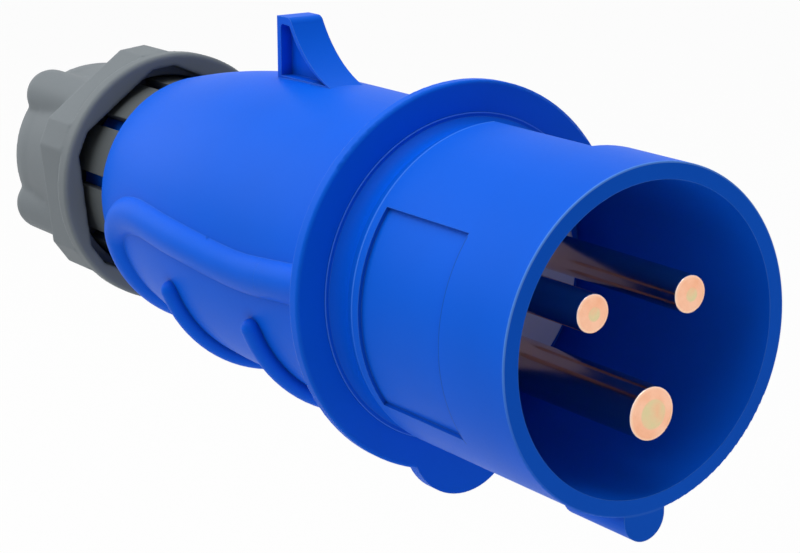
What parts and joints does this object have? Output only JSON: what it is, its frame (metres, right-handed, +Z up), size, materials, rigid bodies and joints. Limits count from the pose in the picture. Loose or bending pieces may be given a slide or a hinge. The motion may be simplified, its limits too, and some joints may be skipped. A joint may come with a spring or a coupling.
{
  "type": "industrial pin and sleeve plug",
  "caption": "Round blue industrial power plug: a sleeve around brass pins, a flange with a retaining fin and lug, a ribbed handle and a grey cable gland with a screwed nut.",
  "frame": {"origin": "centre of the sleeve's front rim, on the plug's axis", "axes": "+X along the axis, out of the sleeve the way the pins point; +Z up through the retaining fin, with the earth pin and the key at the bottom"},
  "size_m": [0.1503, 0.0542, 0.0621],
  "materials": {
    "blue_plastic": "satin moulded",
    "grey_plastic": "matt moulded",
    "pale_plastic": "matt moulded",
    "seal_rubber": "matt",
    "pin_brass": "turned and polished",
    "screw_steel": "zinc plated"
  },
  "bodies": {
    "plug_body": {"sleeve_insert": "blue_plastic", "handle": "blue_plastic", "contact_carrier": "pale_plastic", "pin_retainer": "pale_plastic", "gland_body": "grey_plastic", "body_gasket": "seal_rubber", "seal_grommet": "seal_rubber", "line_pin": "pin_brass", "neutral_pin": "pin_brass", "earth_pin": "pin_brass", "line_terminal_screw": "screw_steel", "neutral_terminal_screw": "screw_steel", "earth_terminal_screw": "screw_steel", "retainer_screws": "screw_steel"},
    "thrust_ring": {"thrust_ring": "grey_plastic"},
    "gland_nut": {"gland_nut": "grey_plastic"}
  },
  "joints": [
    {"name": "ring_slide", "type": "slide", "parent": "plug_body", "child": "thrust_ring", "axis": [1, 0, 0], "range_m": [0, 0.0045]},
    {"name": "nut_turn", "type": "hinge", "parent": "thrust_ring", "child": "gland_nut", "pos_m": [-0.13, 0, 0], "axis": [1, 0, 0], "range_deg": [0, 540]}
  ],
  "couplings": [
    {"joint": "ring_slide", "follows": "nut_turn", "m_per_rad": 0.000477}
  ]
}
